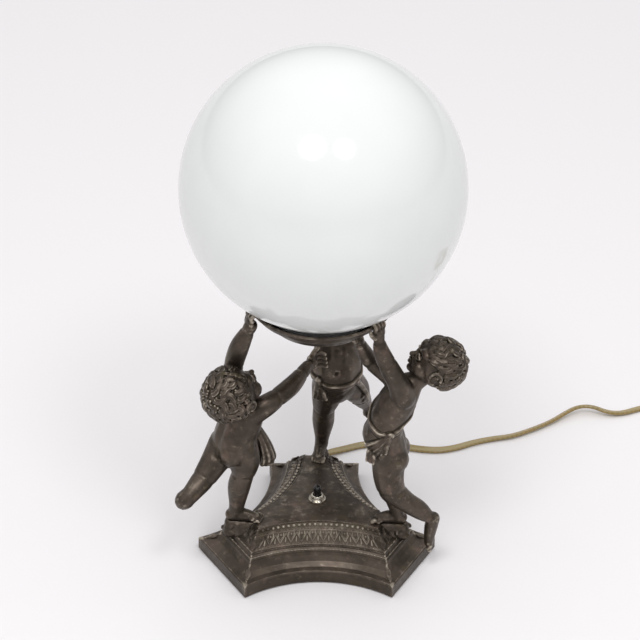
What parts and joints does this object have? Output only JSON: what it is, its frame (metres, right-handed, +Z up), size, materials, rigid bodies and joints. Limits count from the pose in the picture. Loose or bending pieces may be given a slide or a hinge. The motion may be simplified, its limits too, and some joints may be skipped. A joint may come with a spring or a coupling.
{
  "type": "table lamp",
  "caption": "Figural table lamp: cast putti on a lobed stepped base hold up a shallow dish with a round opal glass globe; push switch and flat twin cord.",
  "frame": {"origin": "on the table under the middle of the base, at the felt's underside", "axes": "+Z up; one lobe of the base points to the rear (+Y) and two to the front, with the long hollow side and the switch's open view facing -Y; +X to the right seen from the front"},
  "size_m": [0.504, 0.2834, 0.4116],
  "materials": {
    "patinated_spelter": "dark brown-grey patina over cast spelter, rubbed lighter on edges",
    "dark_spun_brass": "spun brass darkened to match the figures, thin rubbed rim",
    "opal_glass": "gloss white opal glass, opaque to the eye",
    "black_felt": "thin black felt",
    "zinc_steel": "zinc plated",
    "plain_brass": "plain drawn brass",
    "fibre_board": "brown insulating fibre",
    "black_phenolic": "polished black moulding",
    "frosted_bulb": "inside-frosted glass",
    "bulb_aluminium": "bright aluminium cap",
    "bright_nickel": "bright nickel plate",
    "clear_gold_cord": "clear gold flexible vinyl over copper strands",
    "clear_gold_plug": "moulded vinyl in the cord's colour"
  },
  "bodies": {
    "lamp": {"base_casting": "patinated_spelter", "base_felt": "black_felt", "foot_screws": "zinc_steel", "foot_washers": "zinc_steel", "putto_left": "patinated_spelter", "putto_right": "patinated_spelter", "putto_rear": "patinated_spelter", "globe_dish": "dark_spun_brass", "dish_cushion": "black_felt", "socket_nipple": "plain_brass", "nipple_nut": "plain_brass", "socket_cap": "plain_brass", "socket_shell": "plain_brass", "socket_liner": "fibre_board", "socket_core": "black_phenolic", "screw_shell": "plain_brass", "centre_contact": "plain_brass", "switch_body": "black_phenolic", "switch_bushing": "bright_nickel", "switch_ring_nut": "bright_nickel", "switch_lock_nut": "bright_nickel", "switch_spring": "zinc_steel", "cord_bushing": "black_phenolic", "riser_lead": "clear_gold_cord", "base_lead": "clear_gold_cord", "switch_lead": "clear_gold_cord", "cord_run": "clear_gold_cord", "cord_coil": "clear_gold_cord", "cord_tail": "clear_gold_cord", "plug_body": "clear_gold_plug", "plug_blades": "plain_brass"},
    "globe": {"opal_globe": "opal_glass"},
    "bulb": {"bulb_glass": "frosted_bulb", "bulb_cap": "bulb_aluminium", "bulb_button": "black_phenolic"},
    "plunger": {"switch_plunger": "black_phenolic"}
  },
  "joints": [
    {"name": "globe_lift", "type": "slide", "parent": "lamp", "child": "globe", "axis": [0, 0, 1], "range_m": [0, 0.16]},
    {"name": "bulb_turn", "type": "hinge", "parent": "lamp", "child": "bulb", "pos_m": [0, 0, 0.25], "axis": [0, 0, 1], "range_deg": [0, 1080]},
    {"name": "switch_push", "type": "slide", "parent": "lamp", "child": "plunger", "axis": [0, 0, -1], "range_m": [0, 0.003], "stiffness_N_per_m": 400, "deforming": ["switch_spring"]}
  ]
}
